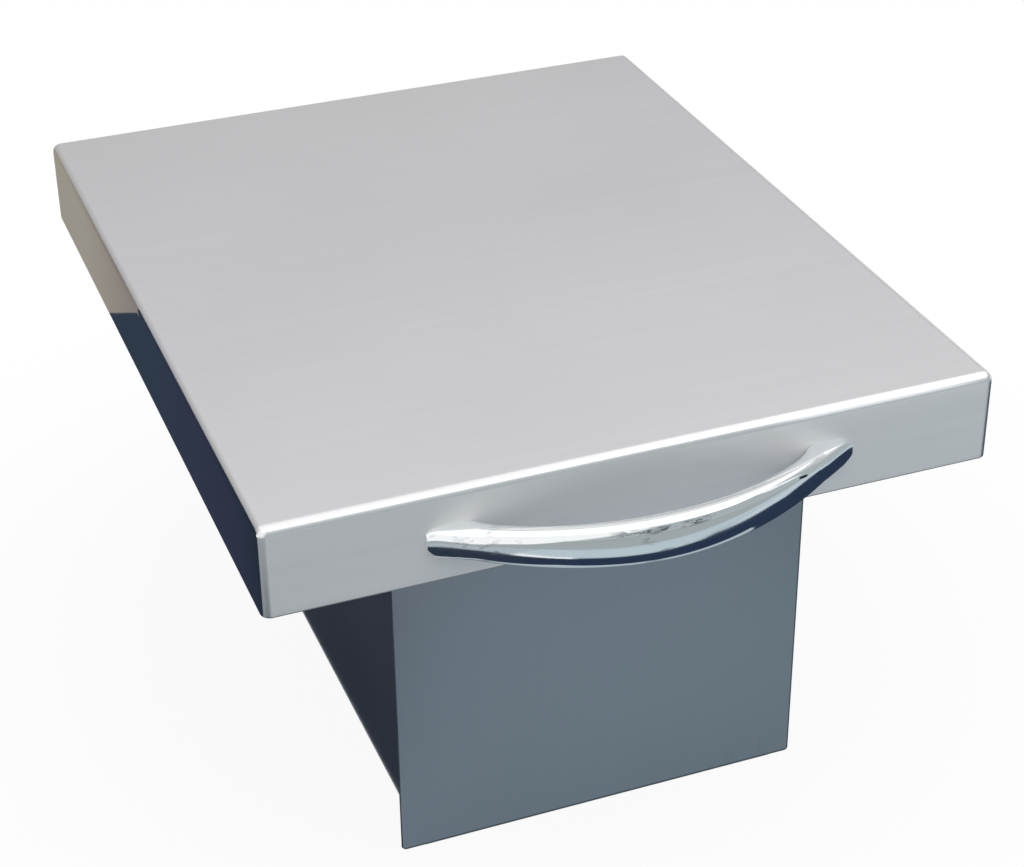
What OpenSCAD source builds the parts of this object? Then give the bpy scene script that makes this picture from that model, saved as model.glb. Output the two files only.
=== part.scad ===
// Built-in trash chute for an outdoor kitchen worktop: a hinged sheet-steel lid with a bow
// handle, a flange that rests on the worktop, and a straight chute that hangs below it.
// Millimetres. X to the right, Y to the back, Z up. The origin is the middle of the worktop
// opening, on the underside of the flange.

/* [Lid] */
// Width of the lid, left to right
lid_w = 305; // [280:1:340]
// Depth of the lid, front to back
lid_d = 370; // [350:1:420]
// Height of the lid's skirt
lid_skirt_h = 39; // [34:0.5:50]
// Sheet thickness of the lid
lid_sheet = 1.2; // [0.8:0.1:2]
// Outside radius of the lid's bends
lid_bend_r = 4; // [2.5:0.1:5]
// Gap between the skirt's lower edge and the flange
lid_lift = 1; // [0.5:0.1:3]

/* [Lid liner] */
// Gap between the liner's tray and the rim at the sides
liner_side_gap = 13; // [11:0.5:25]
// Gap between the liner's tray and the rim at the front and back
liner_end_gap = 15; // [12:0.5:30]
// How far the tray hangs below the lid's top sheet
liner_drop = 7; // [4:0.5:9]
// Sheet thickness of the liner
liner_sheet = 0.8; // [0.6:0.1:1.2]
// Width of the liner's welding flange
liner_flange = 4; // [3:0.1:4.5]

/* [Counter flange] */
// Sheet thickness of the flange
flange_sheet = 1.5; // [1:0.1:3]
// Gap between the flange's side edges and the lid's skirt
flange_side_gap = 2.3; // [1:0.1:5]
// Gap between the flange's front edge and the lid's skirt
flange_front_gap = 3.8; // [2:0.1:6]
// Radius of the flange's corners
flange_corner_r = 6; // [2:0.5:12]
// Radius of the flange's screw holes
screw_hole_r = 2.75; // [2:0.05:3.5]
// From a screw hole to the flange's side edge
screw_edge_x = 29; // [15:1:40]
// From a screw hole to the flange's front edge
screw_edge_y = 30; // [15:1:60]

/* [Rim] */
// Room between the rim's top edge and the lid's top sheet
rim_headroom = 10.3; // [8:0.1:14]
// Sheet thickness of the rim
rim_sheet = 1.5; // [1:0.1:2]
// How far the gasket's legs grip the rim
gasket_leg_h = 8; // [5:0.5:10]
// Thickness of the gasket's legs
gasket_leg = 1.5; // [1:0.1:2]
// Thickness of rubber over the rim's edge
gasket_crown = 2.4; // [1.5:0.1:3]
// Wall of the gasket's hollow bulb
gasket_wall = 1.2; // [0.8:0.1:1.6]
// Gap between the gasket and the shut lid
gasket_gap = 0.3; // [0.2:0.05:0.6]

/* [Chute] */
// Outside width of the chute's duct
chute_w = 162; // [150:1:180]
// Outside depth of the chute's duct
chute_d = 292; // [280:1:310]
// How far the chute hangs below the worktop's top
chute_drop = 160; // [120:1:260]
// Sheet thickness of the chute
chute_sheet = 1.2; // [0.8:0.1:1.6]
// Width of the welded seams outside the duct
seam_w = 10; // [8:0.5:14]
// From the worktop's top down to where the seams start
seam_start = 12; // [8:0.5:30]
// Gap between the duct's top edge and the gasket
neck_gap = 4; // [1:0.5:8]
// Inside radius of the side walls' folds
fold_r = 1.2; // [0.8:0.1:3]

/* [Handle] */
// Distance between the handle's two screws
bow_pitch = 160; // [128:1:192]
// From a screw to the handle's end
bow_end = 8.6; // [8:0.1:10]
// From a screw to the foot's inner edge
bow_heel = 12; // [9:0.1:14]
// How far the handle stands out from the lid
bow_reach = 33.5; // [31:0.5:40]
// Thickness of the handle at its middle, front to back
bow_depth = 11; // [9:0.5:14]
// Height of the handle at its middle
bow_h = 19; // [15:0.5:21]
// Height of the handle at its ends
bow_foot_h = 12; // [10:0.5:14]
// From the lid's top down to the handle's centre line
bow_from_top = 21.5; // [18:0.5:23]

/* [Hinge] */
// From the lid's side to the hinge's end
hinge_inset = 29; // [20:1:60]
// Number of knuckles along the hinge
knuckle_count = 13; // [7:2:17]
// Outside radius of the knuckles
knuckle_r = 3; // [2.6:0.1:3.6]
// Radius of the hinge pin
pin_r = 1.5; // [1:0.05:1.6]
// Running clearance round the pin
pin_clear = 0.05; // [0.03:0.01:0.08]
// Gap between neighbouring knuckles, and round them
knuckle_gap = 0.3; // [0.2:0.05:0.5]
// Thickness of the hinge leaves
leaf_sheet = 1.2; // [0.9:0.1:1.4]
// Width of a hinge leaf, from the pin's centre to its edge
leaf_w = 17; // [14:0.5:20]

/* [Fasteners] */
// Radius of a handle screw's thread
screw_r = 2; // [1.5:0.05:2.5]
// Radius of a handle screw's head
screw_head_r = 3.9; // [3.4:0.1:4.4]
// Height of a handle screw's head
screw_head_h = 2.4; // [1.8:0.1:3]
// How far a handle screw goes into the foot
screw_bite = 4; // [3:0.1:4.4]
// Width of the screw's cross slot
screw_slot = 1.1; // [0.8:0.1:1.4]
// Radius of a handle washer
washer_r = 4.8; // [4.5:0.1:6]
// Thickness of a handle washer
washer_t = 0.8; // [0.5:0.1:1.2]
// Radius of the rivets' shanks
rivet_r = 1.6; // [1.2:0.05:2]
// Radius of the rivets' heads
rivet_head_r = 2.8; // [2.4:0.1:3.4]
// Height of a raised rivet head
rivet_head_h = 1; // [0.8:0.1:1.3]
// Number of rivets in each hinge leaf
rivet_count = 6; // [4:1:9]
// Number of rivets along each side of the rim
neck_rivets_long = 3; // [2:1:5]
// Number of rivets along the rim's front and back
neck_rivets_short = 2; // [1:1:4]

/* [Hidden] */
$fn = 48;
// Room that a cut takes past the face it goes through
past = 1;
// Clearance round a screw or a rivet in its hole
hole_clear = 0.05;
// Clearance between a screw's shank and the sheet it passes
screw_clear = 0.25;

// Lid
lid_x = lid_w / 2;
lid_y = lid_d / 2;
lid_bottom = flange_sheet + lid_lift;
lid_top = lid_bottom + lid_skirt_h;
lid_under = lid_top - lid_sheet;
liner_w = chute_w - 2 * liner_side_gap;
liner_d = chute_d - 2 * liner_end_gap;
liner_bend_r = 2;

// Flange
flange_x = lid_x - lid_sheet - flange_side_gap;
flange_y = lid_y - lid_sheet - flange_front_gap;
screw_x = flange_x - screw_edge_x;
screw_y = flange_y - screw_edge_y;

// Chute
chute_x = chute_w / 2;
chute_y = chute_d / 2;
panel_x = chute_x + seam_w;
fold_outer = fold_r + chute_sheet;

// Rim and gasket
rim_h = lid_under - rim_headroom;
gasket_foot = rim_h - gasket_leg_h;
neck_h = gasket_foot - neck_gap;
gasket_top = lid_under - gasket_gap;
bulb_sink = 0.4;
bulb_r = (gasket_top - rim_h - gasket_crown + bulb_sink) / 2;
bulb_z = gasket_top - bulb_r;

// Rivets
neck_rivet_z = (flange_sheet + neck_h) / 2;
rivet_flare = 0.7;
rivet_tail_r = rivet_r + rivet_flare;
rivet_tail_h = 1;

// Hinge
pin_y = lid_y + knuckle_r + knuckle_gap;
pin_z = flange_sheet + knuckle_r + knuckle_gap;
hinge_len = lid_w - 2 * hinge_inset;
knuckle_pitch = hinge_len / knuckle_count;
knuckle_len = knuckle_pitch - knuckle_gap;
leaf_notch = knuckle_r + 2 * knuckle_gap;
pin_head_r = knuckle_r - knuckle_gap;
pin_head_h = 1.2;
tab_side = 6;
tab_back = 1.5;
tab_x = hinge_len / 2 + tab_side;
tab_y = pin_y + leaf_w + tab_back;
rivet_line = (leaf_notch + leaf_w) / 2;
rivet_pitch = hinge_len / rivet_count;
countersink_h = leaf_sheet / 2;

// Handle
bow_z = lid_top - bow_from_top;
bow_gap = bow_reach - bow_depth;
bow_half = bow_pitch / 2 + bow_end;
bow_heel_x = bow_pitch / 2 - bow_heel;
bow_fade_len = 4;
bow_round = 5;
bow_blunt_top = 0.3;
bow_blunt_foot = 0.8;
bow_bury = 5;
bow_square = 2.7;
bow_swell = 1.7;
bow_front_bend = 1.2;
bow_back_bend = 0.8;
bow_stations = 44;
bow_sides = 24;
screw_seat = lid_sheet + washer_t;
screw_room = 0.4;
screw_head_round = 0.8;
slot_depth = 0.6 * screw_head_h;
slot_len = 1.2 * screw_head_r;

// A bar with rounded long edges at its top two corners, seen end-on
module round_top(w, h, r) {
    union() {
        translate([-w / 2, 0]) square([w, h - r]);
        translate([-w / 2 + r, 0]) square([w - 2 * r, h]);
        for (s = [-1, 1]) translate([s * (w / 2 - r), h - r]) circle(r = r);
    }
}

// A rectangle with four round corners
module round_rect(w, d, r) {
    union() {
        square([w - 2 * r, d], center = true);
        square([w, d - 2 * r], center = true);
        for (sx = [-1, 1], sy = [-1, 1])
            translate([sx * (w / 2 - r), sy * (d / 2 - r)]) circle(r = r);
    }
}

// A block that stands on z = 0, with round top edges and round upright corners
module pan_block(w, d, h, r) {
    intersection() {
        translate([0, d / 2, 0]) rotate([90, 0, 0]) linear_extrude(d) round_top(w, h, r);
        translate([-w / 2, 0, 0]) rotate([90, 0, 90]) linear_extrude(w) round_top(d, h, r);
        linear_extrude(h) round_rect(w, d, r);
    }
}

module counter_flange() {
    color([0.70, 0.71, 0.72]) difference() {
        linear_extrude(flange_sheet) difference() {
            union() {
                round_rect(2 * flange_x, 2 * flange_y, flange_corner_r);
                translate([-tab_x, 0]) square([2 * tab_x, tab_y]);
            }
            square([chute_w, chute_d], center = true);
            for (sx = [-1, 1], sy = [-1, 1])
                translate([sx * screw_x, sy * screw_y]) circle(r = screw_hole_r);
        }
        on_flange() leaf_rivet_places()
            cylinder(r = rivet_r + hole_clear, h = leaf_sheet + flange_sheet + past);
    }
}

module rim_upstand() {
    color([0.72, 0.73, 0.74]) difference() {
        translate([0, 0, flange_sheet]) linear_extrude(rim_h - flange_sheet) difference() {
            round_rect(chute_w + 2 * rim_sheet, chute_d + 2 * rim_sheet, rim_sheet);
            square([chute_w, chute_d], center = true);
        }
        neck_rivet_places() translate([0, 0, -past])
            cylinder(r = rivet_r + hole_clear, h = chute_sheet + rim_sheet + 2 * past);
    }
}

// The gasket's outline, with x = 0 on the rim's inner face and y as height
module gasket_profile() {
    difference() {
        union() {
            translate([-gasket_leg, gasket_foot])
                square([rim_sheet + 2 * gasket_leg, gasket_leg_h + gasket_crown]);
            translate([rim_sheet / 2, bulb_z]) circle(r = bulb_r);
        }
        translate([0, gasket_foot - past]) square([rim_sheet, gasket_leg_h + past]);
        translate([rim_sheet / 2, bulb_z]) circle(r = bulb_r - gasket_wall);
    }
}

// One side of the gasket, mitred at both ends: half is half its length on the rim's inner face
module gasket_side(half, offset_y) {
    reach = bulb_r + rim_sheet;
    intersection() {
        translate([-half - reach, -offset_y, 0]) rotate([90, 0, 90])
            linear_extrude(2 * (half + reach)) mirror([1, 0]) gasket_profile();
        linear_extrude(lid_top) polygon([
            [-half + reach, -offset_y + reach], [-half - reach, -offset_y - reach],
            [half + reach, -offset_y - reach], [half - reach, -offset_y + reach]]);
    }
}

module rim_gasket() {
    color([0.10, 0.10, 0.11]) union() {
        for (a = [0, 180]) rotate([0, 0, a]) gasket_side(chute_x, chute_y);
        for (a = [90, 270]) rotate([0, 0, a]) gasket_side(chute_y, chute_x);
    }
}

// Stands its children on the inner face of the chute's neck, pointing outwards, at each rivet
module neck_rivet_places() {
    for (side = [-1, 1]) {
        for (i = [0 : neck_rivets_long - 1])
            translate([side * (chute_x - chute_sheet),
                       (i - (neck_rivets_long - 1) / 2) * chute_d / neck_rivets_long,
                       neck_rivet_z])
                rotate([0, side * 90, 0]) children();
        for (i = [0 : neck_rivets_short - 1])
            translate([(i - (neck_rivets_short - 1) / 2) * chute_w / neck_rivets_short,
                       side * (chute_y - chute_sheet),
                       neck_rivet_z])
                rotate([-side * 90, 0, 0]) children();
    }
}

module neck_rivets() {
    grip = chute_sheet + rim_sheet;
    color([0.62, 0.63, 0.65]) neck_rivet_places() union() {
        translate([0, 0, -rivet_head_h])
            cylinder(r1 = rivet_head_r - rivet_head_h, r2 = rivet_head_r, h = rivet_head_h);
        cylinder(r = rivet_r, h = grip);
        translate([0, 0, grip]) cylinder(r = rivet_tail_r, h = rivet_tail_h);
    }
}

// A flat wall of the duct, seen from the front: wide below the worktop, narrow in the neck
module chute_panel() {
    difference() {
        union() {
            translate([-panel_x, 0, -chute_drop])
                cube([2 * panel_x, chute_sheet, chute_drop - seam_start]);
            translate([-chute_x, 0, -seam_start])
                cube([2 * chute_x, chute_sheet, seam_start + neck_h]);
        }
        for (i = [0 : neck_rivets_short - 1])
            translate([(i - (neck_rivets_short - 1) / 2) * chute_w / neck_rivets_short,
                       -past, neck_rivet_z])
                rotate([-90, 0, 0]) cylinder(r = rivet_r + hole_clear, h = chute_sheet + 2 * past);
    }
}

module chute_front_panel() {
    color([0.40, 0.44, 0.48]) translate([0, -chute_y, 0]) chute_panel();
}

module chute_rear_panel() {
    color([0.40, 0.44, 0.48]) translate([0, chute_y - chute_sheet, 0]) chute_panel();
}

// The front half of a side wall's outline below the worktop, folded outwards to a seam
module channel_half() {
    web_x = chute_x - chute_sheet;
    seam_y = -chute_y + chute_sheet;
    union() {
        translate([web_x, seam_y + fold_outer]) square([chute_sheet, -seam_y - fold_outer]);
        translate([web_x + fold_outer, seam_y]) square([panel_x - web_x - fold_outer, chute_sheet]);
        translate([web_x + fold_outer, seam_y + fold_outer]) intersection() {
            difference() {
                circle(r = fold_outer);
                circle(r = fold_r);
            }
            translate([-fold_outer, -fold_outer]) square(fold_outer);
        }
    }
}

module chute_side() {
    difference() {
        union() {
            translate([0, 0, -chute_drop]) linear_extrude(chute_drop - seam_start) union() {
                channel_half();
                mirror([0, 1]) channel_half();
            }
            translate([chute_x - chute_sheet, -chute_y + chute_sheet, -seam_start])
                cube([chute_sheet, 2 * (chute_y - chute_sheet), seam_start + neck_h]);
        }
        neck_rivet_places() translate([0, 0, -past])
            cylinder(r = rivet_r + hole_clear, h = chute_sheet + 2 * past);
    }
}

module chute_side_right() {
    color([0.30, 0.32, 0.38]) chute_side();
}

module chute_side_left() {
    color([0.30, 0.32, 0.38]) mirror([1, 0, 0]) chute_side();
}

// A hinge leaf with the pin's axis along X through the origin, its plate towards +Y.
// first is the number of its first knuckle: every second knuckle belongs to it.
module hinge_leaf(first) {
    plate_z = -knuckle_r - knuckle_gap;
    difference() {
        union() {
            translate([-hinge_len / 2, leaf_notch, plate_z])
                cube([hinge_len, leaf_w - leaf_notch, leaf_sheet]);
            for (i = [first : 2 : knuckle_count - 1])
                translate([-hinge_len / 2 + i * knuckle_pitch + knuckle_gap / 2, 0, 0])
                    rotate([90, 0, 90]) linear_extrude(knuckle_len) difference() {
                        union() {
                            circle(r = knuckle_r);
                            translate([0, plate_z]) square([leaf_notch + past, leaf_sheet]);
                        }
                        circle(r = pin_r + pin_clear);
                    }
        }
        leaf_rivet_places() flush_head(hole_clear, leaf_sheet + past);
    }
}

// Puts its children on the leaf's open face at each rivet, pointing down into the leaf
module leaf_rivet_places() {
    for (i = [0 : rivet_count - 1])
        translate([(i - (rivet_count - 1) / 2) * rivet_pitch, rivet_line,
                   -knuckle_r - knuckle_gap + leaf_sheet])
            rotate([180, 0, 0]) children();
}

// A flush rivet's countersunk head and shank, or the hole for them
module flush_head(grow, depth) {
    flare = (rivet_head_r - rivet_r) / countersink_h;
    union() {
        translate([0, 0, -grow])
            cylinder(r1 = rivet_head_r + grow * (1 + flare), r2 = rivet_r + grow,
                     h = countersink_h + grow);
        cylinder(r = rivet_r + grow, h = depth);
    }
}

// The two places of a hinge leaf: flat on the flange, and upright on the back of the lid
module on_flange() {
    translate([0, pin_y, pin_z]) children();
}

module on_lid_back() {
    translate([0, pin_y, pin_z]) mirror([0, 1, -1]) children();
}

module hinge_frame_leaf() {
    color([0.66, 0.67, 0.69]) on_flange() hinge_leaf(0);
}

module hinge_lid_leaf() {
    color([0.66, 0.67, 0.69]) on_lid_back() hinge_leaf(1);
}

module hinge_pin() {
    color([0.75, 0.76, 0.78]) translate([-hinge_len / 2, pin_y, pin_z]) rotate([0, 90, 0]) union() {
        cylinder(r = pin_r, h = hinge_len);
        translate([0, 0, -pin_head_h]) cylinder(r = pin_head_r, h = pin_head_h);
        translate([0, 0, hinge_len]) cylinder(r = pin_head_r, h = pin_head_h);
    }
}

module hinge_frame_rivets() {
    color([0.60, 0.61, 0.63]) on_flange() leaf_rivet_places()
        flush_head(0, leaf_sheet + flange_sheet);
}

module hinge_lid_rivets() {
    grip = leaf_sheet + lid_sheet;
    color([0.60, 0.61, 0.63]) on_lid_back() leaf_rivet_places() union() {
        flush_head(0, grip);
        translate([0, 0, grip]) cylinder(r = rivet_tail_r, h = rivet_tail_h);
    }
}

module lid_shell() {
    inside_r = lid_bend_r - lid_sheet;
    color([0.78, 0.78, 0.79]) difference() {
        translate([0, 0, lid_bottom]) pan_block(lid_w, lid_d, lid_skirt_h, lid_bend_r);
        translate([0, 0, lid_bottom - past])
            pan_block(lid_w - 2 * lid_sheet, lid_d - 2 * lid_sheet,
                      lid_skirt_h - lid_sheet + past, inside_r);
        for (side = [-1, 1])
            at_handle_screw(side) translate([0, 0, -past])
                cylinder(r = screw_r + screw_clear, h = lid_sheet + 2 * past);
        on_lid_back() leaf_rivet_places()
            cylinder(r = rivet_r + hole_clear, h = leaf_sheet + lid_sheet + past);
    }
}

// A tray welded under the lid's top sheet, which stiffens it and fits down inside the rim
module lid_liner() {
    inside_r = liner_bend_r - liner_sheet;
    color([0.74, 0.75, 0.76]) translate([0, 0, lid_under]) mirror([0, 0, 1]) difference() {
        union() {
            pan_block(liner_w, liner_d, liner_drop, liner_bend_r);
            linear_extrude(liner_sheet)
                round_rect(liner_w + 2 * liner_flange, liner_d + 2 * liner_flange,
                           liner_bend_r + liner_flange);
        }
        translate([0, 0, -past])
            pan_block(liner_w - 2 * liner_sheet, liner_d - 2 * liner_sheet,
                      liner_drop - liner_sheet + past, inside_r);
    }
}

// Stands its children on the inside of the lid's front skirt at a handle screw, pointing forwards
module at_handle_screw(side) {
    translate([side * bow_pitch / 2, -lid_y + lid_sheet, bow_z]) rotate([90, 0, 0]) children();
}

// How far the handle's front and back stand out from the lid at a place along it
function bow_front(x) = bow_reach * pow(1 - pow(x / (bow_half + bow_fade_len), 2), bow_front_bend);
function bow_arc(x) = 1 - pow(x / bow_heel_x, 2);
function bow_back(x) = bow_arc(x) >= 0 ? bow_gap * pow(bow_arc(x), bow_back_bend)
                                       : max(-bow_bury, -bow_gap * pow(-bow_arc(x), bow_back_bend));
// Half the handle's height at a place along it, drawn in at both ends by blunt
function bow_tip(x) = max(0, (abs(x) - bow_half + bow_round) / bow_round);
function bow_rise(x, blunt) = (bow_h - (bow_h - bow_foot_h) * pow(abs(x) / bow_half, bow_swell)) / 2
                              * sqrt(1 - blunt * pow(bow_tip(x), 2));
// A point on a rounded square of half-size 1
function squared(c) = sign(c) * pow(abs(c), 2 / bow_square);
function bow_point(x, a) = [
    x,
    -(bow_front(x) + bow_back(x)) / 2 - (bow_front(x) - bow_back(x)) / 2 * squared(cos(a)),
    bow_rise(x, sin(a) < 0 ? bow_blunt_foot : bow_blunt_top) * squared(sin(a))];

module bow_solid() {
    points = [for (i = [0 : bow_stations], j = [0 : bow_sides - 1])
        bow_point(-bow_half * cos(180 * i / bow_stations), 360 * j / bow_sides)];
    sides = [for (i = [0 : bow_stations - 1], j = [0 : bow_sides - 1])
        let (a = i * bow_sides + j,
             b = i * bow_sides + (j + 1) % bow_sides)
        each [[a, b, b + bow_sides], [a, b + bow_sides, a + bow_sides]]];
    first = [for (j = [0 : bow_sides - 1]) bow_sides - 1 - j];
    last = [for (j = [0 : bow_sides - 1]) bow_stations * bow_sides + j];
    polyhedron(points, concat([first], sides, [last]));
}

module handle_bow() {
    color([0.80, 0.82, 0.84]) difference() {
        translate([0, -lid_y, bow_z]) bow_solid();
        translate([-lid_x, -lid_y, 0]) cube([lid_w, bow_bury + past, lid_top]);
        for (side = [-1, 1])
            at_handle_screw(side)
                cylinder(r = screw_r + hole_clear, h = lid_sheet + screw_bite + screw_room);
    }
}

module handle_screw(side) {
    at_handle_screw(side) difference() {
        union() {
            translate([0, 0, -washer_t]) cylinder(r = screw_r, h = screw_seat + screw_bite);
            translate([0, 0, -washer_t - screw_head_h])
                cylinder(r1 = screw_head_r - screw_head_round, r2 = screw_head_r, h = screw_head_h);
        }
        for (a = [0, 90])
            translate([0, 0, -washer_t - screw_head_h]) rotate([0, 0, a])
                cube([slot_len, screw_slot, 2 * slot_depth], center = true);
    }
}

module handle_screw_left() {
    color([0.62, 0.62, 0.64]) handle_screw(-1);
}

module handle_screw_right() {
    color([0.62, 0.62, 0.64]) handle_screw(1);
}

module handle_washer(side) {
    at_handle_screw(side) translate([0, 0, -washer_t]) difference() {
        cylinder(r = washer_r, h = washer_t);
        translate([0, 0, -past]) cylinder(r = screw_r + screw_clear, h = washer_t + 2 * past);
    }
}

module handle_washer_left() {
    color([0.68, 0.68, 0.70]) handle_washer(-1);
}

module handle_washer_right() {
    color([0.68, 0.68, 0.70]) handle_washer(1);
}

counter_flange();
rim_upstand();
rim_gasket();
neck_rivets();
chute_front_panel();
chute_rear_panel();
chute_side_left();
chute_side_right();
hinge_frame_leaf();
hinge_pin();
hinge_frame_rivets();
lid_shell();
lid_liner();
handle_bow();
handle_screw_left();
handle_screw_right();
handle_washer_left();
handle_washer_right();
hinge_lid_leaf();
hinge_lid_rivets();
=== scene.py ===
"""Built-in trash chute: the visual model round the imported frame, with its stage, lamp and camera."""

import math

import bmesh
import bpy
from mathutils import Matrix, Vector
from mathutils.geometry import tessellate_polygon


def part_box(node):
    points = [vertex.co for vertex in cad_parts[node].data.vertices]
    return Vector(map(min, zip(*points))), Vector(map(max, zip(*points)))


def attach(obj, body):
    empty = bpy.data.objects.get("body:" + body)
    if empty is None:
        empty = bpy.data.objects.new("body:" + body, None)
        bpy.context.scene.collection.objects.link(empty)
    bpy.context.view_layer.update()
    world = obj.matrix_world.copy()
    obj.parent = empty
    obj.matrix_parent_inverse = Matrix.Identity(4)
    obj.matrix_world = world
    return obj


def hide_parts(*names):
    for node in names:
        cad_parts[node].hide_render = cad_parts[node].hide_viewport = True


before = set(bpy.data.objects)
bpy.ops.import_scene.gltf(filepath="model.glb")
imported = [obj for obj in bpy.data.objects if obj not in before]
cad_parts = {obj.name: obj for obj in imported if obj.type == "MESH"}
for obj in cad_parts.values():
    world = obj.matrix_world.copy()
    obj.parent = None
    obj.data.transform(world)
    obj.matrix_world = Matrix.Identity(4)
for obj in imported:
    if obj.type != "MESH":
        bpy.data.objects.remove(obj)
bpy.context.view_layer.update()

MM = 0.001
MERGE_WITHIN, SLIVER = 2e-6, 1e-7
SMOOTH_ANGLE, BEVEL_ANGLE = math.radians(38), math.radians(40)
GRAIN_UV = "grain"

# Mesh tools


def keep_mesh(name, verts, faces, sharp=SMOOTH_ANGLE, rounding=0.0):
    """A new object from plain vertices and faces, merged, with its normals turned outwards."""
    mesh = bpy.data.meshes.new(name)
    bm = bmesh.new()
    made = [bm.verts.new(v) for v in verts]
    for face in faces:
        bm.faces.new([made[i] for i in face])
    bmesh.ops.remove_doubles(bm, verts=bm.verts, dist=MERGE_WITHIN)
    bmesh.ops.dissolve_degenerate(bm, edges=bm.edges, dist=SLIVER)
    bmesh.ops.recalc_face_normals(bm, faces=bm.faces)
    for face in bm.faces:
        face.smooth = True
    for edge in bm.edges:
        edge.smooth = len(edge.link_faces) == 2 and edge.calc_face_angle(0) < sharp
    bm.to_mesh(mesh)
    bm.free()
    obj = bpy.data.objects.new(name, mesh)
    bpy.context.scene.collection.objects.link(obj)
    soften(obj, rounding)
    return obj


def soften(obj, rounding):
    """Rounds the hard edges and weights the normals by face area, so flats stay flat."""
    if rounding:
        bevel = obj.modifiers.new("edge", "BEVEL")
        bevel.width = rounding
        bevel.segments = 2
        bevel.limit_method = "ANGLE"
        bevel.angle_limit = BEVEL_ANGLE
        bevel.use_clamp_overlap = True
    weighted = obj.modifiers.new("normals", "WEIGHTED_NORMAL")
    weighted.mode = "FACE_AREA"
    weighted.keep_sharp = True
    bpy.context.view_layer.update()
    graph = bpy.context.evaluated_depsgraph_get()
    mesh = bpy.data.meshes.new_from_object(obj.evaluated_get(graph))
    mesh.name = obj.name
    obj.modifiers.clear()
    obj.data = mesh


def lay_grain(obj, along):
    """UVs in metres with U along the grain. On faces that look along it, U runs along Y."""
    mesh = obj.data
    layer = mesh.uv_layers.new(name=GRAIN_UV)
    first, second = Vector(along), Vector((0, 1, 0))
    for poly in mesh.polygons:
        lead = first if abs(poly.normal.dot(first)) < 0.8 else second
        side = poly.normal.cross(lead).normalized()
        for loop in poly.loop_indices:
            place = mesh.vertices[mesh.loops[loop].vertex_index].co
            layer.data[loop].uv = (place.dot(lead), place.dot(side))


def place_piece(obj, material, body, nodes=(), along=(1, 0, 0)):
    """Grain, material and body of a finished piece, and the CAD nodes it stands for, which it hides."""
    lay_grain(obj, along)
    obj.data.materials.append(material)
    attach(obj, body)
    if nodes:
        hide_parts(*nodes)


def arc(x, y, radius, start, end, steps):
    """Points on a circle, angles in degrees. In a bend's profile 0 looks inwards and 90 up."""
    angles = [math.radians(start + (end - start) * i / steps) for i in range(steps + 1)]
    return [(x + radius * math.cos(a), y + radius * math.sin(a)) for a in angles]


def band(a, b):
    """The faces between two rings of vertex numbers."""
    count = len(a)
    return [(a[i], a[(i + 1) % count], b[(i + 1) % count], b[i]) for i in range(count)]


def rounded(corners, steps=6):
    """A closed outline through corners (x, y, radius), each turned with its own radius."""
    points = []
    count = len(corners)
    for i, (x, y, radius) in enumerate(corners):
        here = Vector((x, y))
        back = (Vector(corners[i - 1][:2]) - here).normalized()
        ahead = (Vector(corners[(i + 1) % count][:2]) - here).normalized()
        half = back.angle(ahead) / 2
        middle = here + (back + ahead).normalized() * (radius / math.sin(half))
        start = here + back * (radius / math.tan(half)) - middle
        end = here + ahead * (radius / math.tan(half)) - middle
        turn = start.angle_signed(end)
        for k in range(steps + 1):
            spun = start.copy()
            spun.rotate(Matrix.Rotation(-turn * k / steps, 2))
            points.append(tuple(middle + spun))
    return points


def rectangle(x0, x1, y0, y1):
    return [(x0, y0), (x1, y0), (x1, y1), (x0, y1)]


def box_outline(half_x, half_y, radius, steps=6):
    """A rectangle's outline round the origin with round corners."""
    corners = rectangle(-half_x, half_x, -half_y, half_y)
    return rounded([(x, y, radius) for x, y in corners], steps)


def signed_area(loop):
    """Positive where the loop runs anticlockwise."""
    return sum(a[0] * b[1] - b[0] * a[1] for a, b in zip(loop, loop[1:] + loop[:1])) / 2


def inset(loop, amount):
    """The loop moved to its left by amount, and by twice that at its sharpest corners."""
    moved = []
    count = len(loop)
    for i in range(count):
        here = Vector(loop[i])
        before = (here - Vector(loop[i - 1])).normalized()
        after = (Vector(loop[(i + 1) % count]) - here).normalized()
        left = Vector((-before.y - after.y, before.x + after.x)).normalized()
        reach = max(left.dot(Vector((-before.y, before.x))), 0.5)
        moved.append(tuple(here + left * (amount / reach)))
    return moved


def prism(name, loops, low, high, edge, matrix=Matrix.Identity(4)):
    """A plate with the outline and holes of loops, from low to high, its edges rounded by edge."""
    steps = 3
    turned = []
    for number, loop in enumerate(loops):
        wanted = 1 if number == 0 else -1
        turned.append(loop if signed_area(loop) * wanted > 0 else loop[::-1])
    profile = [
        (edge * (1 - math.sin(a)), low + edge * (1 - math.cos(a)))
        for a in (math.pi / 2 * k / steps for k in range(steps + 1))
    ]
    profile += [(o, high + low - z) for o, z in reversed(profile)]
    verts, faces, caps = [], [], ([], [])
    for loop in turned:
        rows = []
        for offset, z in profile:
            rows.append(range(len(verts), len(verts) + len(loop)))
            verts += [(x, y, z) for x, y in inset(loop, offset)]
        for a, b in zip(rows, rows[1:]):
            faces += band(a, b)
        caps[0].append(rows[0])
        caps[1].append(rows[-1])
    for cap in caps:
        order = [i for row in cap for i in row]
        polygons = [[Vector(verts[i]) for i in row] for row in cap]
        faces += [tuple(order[k] for k in tri) for tri in tessellate_polygon(polygons)]
    return keep_mesh(name, [tuple(matrix @ Vector(v)) for v in verts], faces)


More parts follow.
